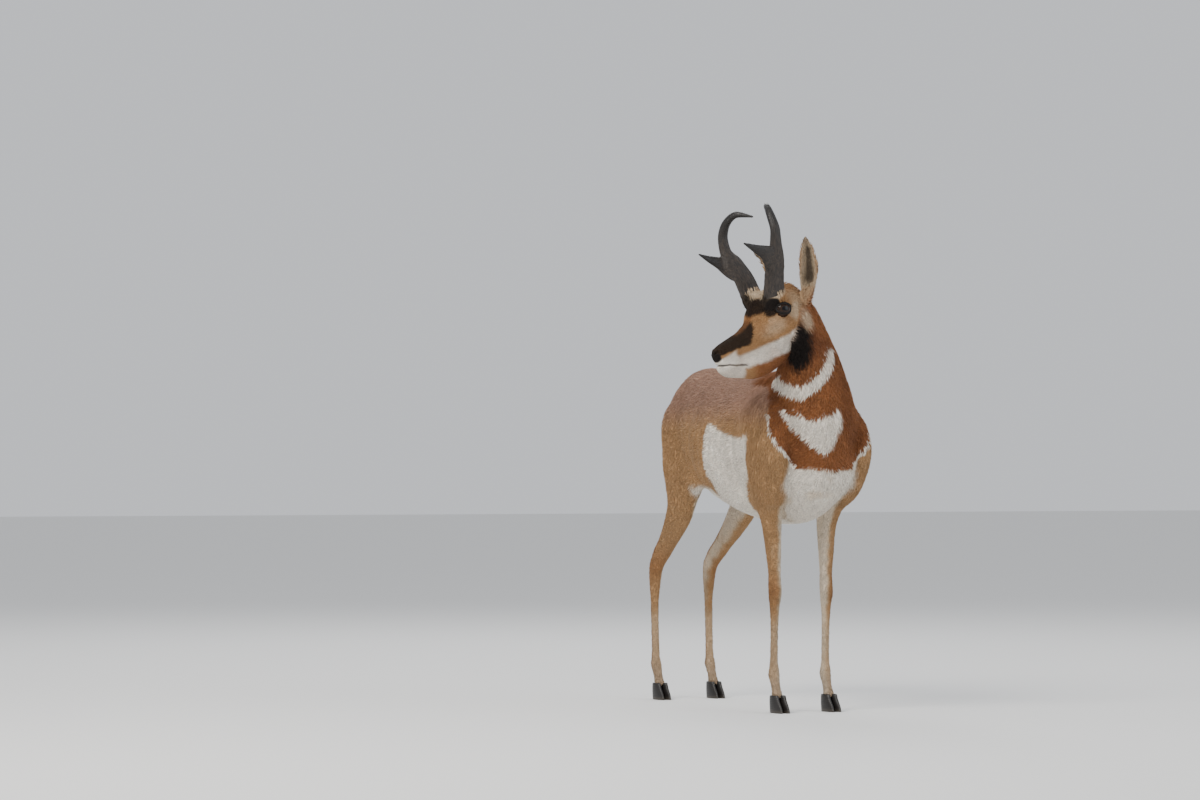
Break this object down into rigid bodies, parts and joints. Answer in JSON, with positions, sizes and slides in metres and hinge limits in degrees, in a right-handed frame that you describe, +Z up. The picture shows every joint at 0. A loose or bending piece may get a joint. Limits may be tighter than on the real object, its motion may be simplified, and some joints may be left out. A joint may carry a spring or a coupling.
{
  "type": "pronghorn",
  "caption": "Life-size standing pronghorn buck, head turned to its right, with pronged hooked horns, cupped ears and cloven hooves.",
  "frame": {"origin": "on the ground, below the middle of the bounding box", "axes": "+Z up; the animal faces -Y and its left side is +X"},
  "size_m": [0.4819, 0.9051, 1.265],
  "materials": {
    "coat": "short coarse hair, tan with white and black-brown markings",
    "tail_hair": "soft white hair",
    "horn": "satin fibrous keratin",
    "hoof": "satin hard keratin",
    "eye": "wet and glossy"
  },
  "bodies": {
    "root": {"torso": "coat", "neck": "coat", "head": "coat", "tail": "tail_hair", "ear_left": "coat", "shoulder_left": "coat", "forearm_left": "coat", "fore_cannon_left": "coat", "thigh_left": "coat", "gaskin_left": "coat", "hind_cannon_left": "coat", "ear_right": "coat", "shoulder_right": "coat", "forearm_right": "coat", "fore_cannon_right": "coat", "thigh_right": "coat", "gaskin_right": "coat", "hind_cannon_right": "coat", "horn_left": "horn", "horn_right": "horn", "eye_left": "eye", "eye_right": "eye", "fore_hoof_left_inner": "hoof", "fore_hoof_left_outer": "hoof", "hind_hoof_left_inner": "hoof", "hind_hoof_left_outer": "hoof", "fore_hoof_right_inner": "hoof", "fore_hoof_right_outer": "hoof", "hind_hoof_right_inner": "hoof", "hind_hoof_right_outer": "hoof"}
  },
  "joints": []
}
